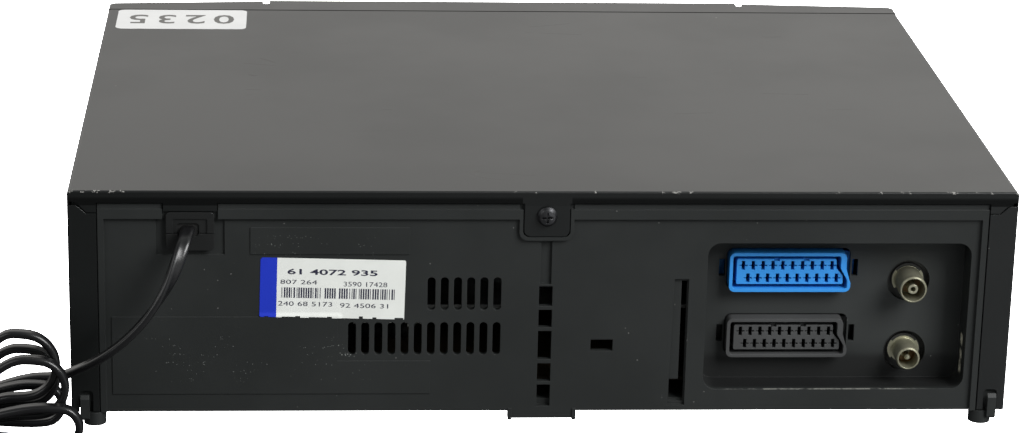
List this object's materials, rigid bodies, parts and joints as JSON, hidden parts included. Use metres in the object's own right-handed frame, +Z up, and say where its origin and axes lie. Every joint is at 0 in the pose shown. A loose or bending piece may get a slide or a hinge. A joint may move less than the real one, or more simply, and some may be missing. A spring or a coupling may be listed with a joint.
{
  "type": "video cassette recorder",
  "caption": "Table-top video cassette recorder with a folded steel lid, moulded back wall with aerial and 21-pole sockets, tape mechanism, buttons and a flat mains cord.",
  "frame": {"origin": "middle of the footprint on the surface that the recorder stands on, without the cord", "axes": "+Z up, the front faces -Y, the back wall faces +Y, +X is the side of the mains cord"},
  "size_m": [0.5065, 0.3583, 0.094],
  "materials": {
    "lid_steel": "warm dark grey satin paint on steel",
    "back_plastic": "charcoal moulded plastic, fine grain",
    "front_plastic": "black satin moulded plastic",
    "window_plastic": "smoked clear plastic",
    "bare_steel": "zinc plated steel sheet",
    "nickel": "nickel plate",
    "dark_screw": "dark zinc",
    "blue_plastic": "blue moulded plastic",
    "black_plastic": "black moulded plastic",
    "white_plastic": "natural white moulded plastic",
    "black_rubber": "black rubber",
    "cord_vinyl": "black flexible vinyl",
    "circuit_board": "green lacquered laminate",
    "chip_resin": "black resin",
    "aluminium": "turned aluminium"
  },
  "bodies": {
    "recorder": {"aerial_input": "nickel", "aerial_output": "nickel", "board_capacitors": "chip_resin", "board_chips": "chip_resin", "bottom_plate": "bare_steel", "capstan_belt": "black_rubber", "capstan_motor": "circuit_board", "carriage_left": "bare_steel", "carriage_right": "bare_steel", "cord_grommet": "black_plastic", "cord_hank": "cord_vinyl", "cord_tie": "black_plastic", "cover_screw": "dark_screw", "deck_plate": "bare_steel", "deck_screws": "dark_screw", "display_module": "window_plastic", "display_window": "window_plastic", "erase_head": "bare_steel", "front_board": "circuit_board", "front_feet": "black_rubber", "front_panel": "front_plastic", "jack_board": "circuit_board", "loading_motor": "bare_steel", "lower_drum": "aluminium", "lower_socket": "black_plastic", "main_board": "circuit_board", "main_frame": "back_plastic", "mains_plug": "black_plastic", "power_cord": "cord_vinyl", "sound_head": "bare_steel", "top_cover": "lid_steel", "transformer": "bare_steel", "tuner_can": "bare_steel", "upper_socket": "blue_plastic"},
    "cassette_door": {"cassette_door": "front_plastic"},
    "cassette_holder": {"cassette_holder": "bare_steel"},
    "upper_drum": {"upper_drum": "aluminium"},
    "capstan_flywheel": {"capstan_flywheel": "bare_steel"},
    "clutch_pulley": {"clutch_pulley": "white_plastic"},
    "supply_reel": {"supply_reel": "white_plastic"},
    "takeup_reel": {"takeup_reel": "white_plastic"},
    "idler_arm": {"idler_arm": "bare_steel"},
    "idler_gear": {"idler_gear": "white_plastic"},
    "pinch_arm": {"pinch_arm": "bare_steel"},
    "pinch_roller": {"pinch_roller": "black_rubber"},
    "loading_gear": {"loading_gear": "white_plastic"},
    "loading_worm": {"loading_worm": "white_plastic"},
    "supply_guide": {"supply_guide": "aluminium"},
    "takeup_guide": {"takeup_guide": "aluminium"},
    "tension_arm": {"tension_arm": "bare_steel"},
    "power_button": {"power_button": "front_plastic"},
    "channel_down_button": {"channel_down_button": "front_plastic"},
    "channel_up_button": {"channel_up_button": "front_plastic"},
    "play_button": {"play_button": "front_plastic"},
    "rewind_button": {"rewind_button": "front_plastic"},
    "forward_button": {"forward_button": "front_plastic"},
    "stop_button": {"stop_button": "front_plastic"},
    "pause_button": {"pause_button": "front_plastic"},
    "record_button": {"record_button": "front_plastic"},
    "eject_button": {"eject_button": "front_plastic"}
  },
  "joints": [
    {"name": "door_hinge", "type": "hinge", "parent": "recorder", "child": "cassette_door", "pos_m": [0, -0.1372, 0.0864], "axis": [1, 0, 0], "range_deg": [0, 88], "stiffness_Nm_per_rad": 0.004},
    {"name": "holder_slide", "type": "slide", "parent": "recorder", "child": "cassette_holder", "axis": [0, 1, 0], "range_m": [0, 0.066]},
    {"name": "drum_spin", "type": "hinge", "parent": "recorder", "child": "upper_drum", "pos_m": [0, 0.0665, 0.057], "axis": [0, 0.1038, 0.9946], "continuous": true},
    {"name": "capstan_spin", "type": "hinge", "parent": "recorder", "child": "capstan_flywheel", "pos_m": [0.062, 0.037, 0.02], "axis": [0, 0, 1], "continuous": true},
    {"name": "clutch_spin", "type": "hinge", "parent": "recorder", "child": "clutch_pulley", "pos_m": [0, -0.064, 0.02], "axis": [0, 0, 1], "continuous": true},
    {"name": "supply_reel_spin", "type": "hinge", "parent": "recorder", "child": "supply_reel", "pos_m": [-0.046, -0.04, 0.04], "axis": [0, 0, 1], "continuous": true},
    {"name": "takeup_reel_spin", "type": "hinge", "parent": "recorder", "child": "takeup_reel", "pos_m": [0.046, -0.04, 0.04], "axis": [0, 0, 1], "continuous": true},
    {"name": "idler_swing", "type": "hinge", "parent": "recorder", "child": "idler_arm", "pos_m": [0, -0.064, 0.038], "axis": [0, 0, 1], "range_deg": [-32, 32]},
    {"name": "idler_spin", "type": "hinge", "parent": "idler_arm", "child": "idler_gear", "pos_m": [0, -0.036, 0.04], "axis": [0, 0, 1], "continuous": true},
    {"name": "pinch_swing", "type": "hinge", "parent": "recorder", "child": "pinch_arm", "pos_m": [0.084, 0.02, 0.045], "axis": [0, 0, 1], "range_deg": [-23.5, 0]},
    {"name": "pinch_spin", "type": "hinge", "parent": "pinch_arm", "child": "pinch_roller", "pos_m": [0.062, 0.02, 0.055], "axis": [0, 0, 1], "continuous": true},
    {"name": "loading_turn", "type": "hinge", "parent": "recorder", "child": "loading_gear", "pos_m": [0.06, 0.086, 0.026], "axis": [0, 0, 1], "range_deg": [0, 150]},
    {"name": "worm_spin", "type": "hinge", "parent": "recorder", "child": "loading_worm", "pos_m": [0.06, 0.1071, 0.0258], "axis": [1, 0, 0], "continuous": true},
    {"name": "supply_guide_slide", "type": "slide", "parent": "recorder", "child": "supply_guide", "axis": [-0.2894, 0.9572, 0], "range_m": [0, 0.044]},
    {"name": "takeup_guide_slide", "type": "slide", "parent": "recorder", "child": "takeup_guide", "axis": [0.2894, 0.9572, 0], "range_m": [0, 0.044]},
    {"name": "tension_swing", "type": "hinge", "parent": "recorder", "child": "tension_arm", "pos_m": [-0.072, 0.01, 0.038], "axis": [0, 0, 1], "range_deg": [0, 20], "stiffness_Nm_per_rad": 0.002},
    {"name": "power_press", "type": "slide", "parent": "recorder", "child": "power_button", "axis": [0, 1, 0], "range_m": [0, 0.001], "stiffness_N_per_m": 300},
    {"name": "channel_down_press", "type": "slide", "parent": "recorder", "child": "channel_down_button", "axis": [0, 1, 0], "range_m": [0, 0.001], "stiffness_N_per_m": 300},
    {"name": "channel_up_press", "type": "slide", "parent": "recorder", "child": "channel_up_button", "axis": [0, 1, 0], "range_m": [0, 0.001], "stiffness_N_per_m": 300},
    {"name": "play_press", "type": "slide", "parent": "recorder", "child": "play_button", "axis": [0, 1, 0], "range_m": [0, 0.001], "stiffness_N_per_m": 300},
    {"name": "rewind_press", "type": "slide", "parent": "recorder", "child": "rewind_button", "axis": [0, 1, 0], "range_m": [0, 0.001], "stiffness_N_per_m": 300},
    {"name": "forward_press", "type": "slide", "parent": "recorder", "child": "forward_button", "axis": [0, 1, 0], "range_m": [0, 0.001], "stiffness_N_per_m": 300},
    {"name": "stop_press", "type": "slide", "parent": "recorder", "child": "stop_button", "axis": [0, 1, 0], "range_m": [0, 0.001], "stiffness_N_per_m": 300},
    {"name": "pause_press", "type": "slide", "parent": "recorder", "child": "pause_button", "axis": [0, 1, 0], "range_m": [0, 0.001], "stiffness_N_per_m": 300},
    {"name": "record_press", "type": "slide", "parent": "recorder", "child": "record_button", "axis": [0, 1, 0], "range_m": [0, 0.001], "stiffness_N_per_m": 300},
    {"name": "eject_press", "type": "slide", "parent": "recorder", "child": "eject_button", "axis": [0, 1, 0], "range_m": [0, 0.001], "stiffness_N_per_m": 300}
  ],
  "couplings": [
    {"joint": "clutch_spin", "follows": "capstan_spin", "ratio": 0.66667},
    {"joint": "supply_guide_slide", "follows": "loading_turn", "m_per_rad": 0.016807},
    {"joint": "takeup_guide_slide", "follows": "loading_turn", "m_per_rad": 0.016807},
    {"joint": "worm_spin", "follows": "loading_turn", "ratio": 24}
  ]
}
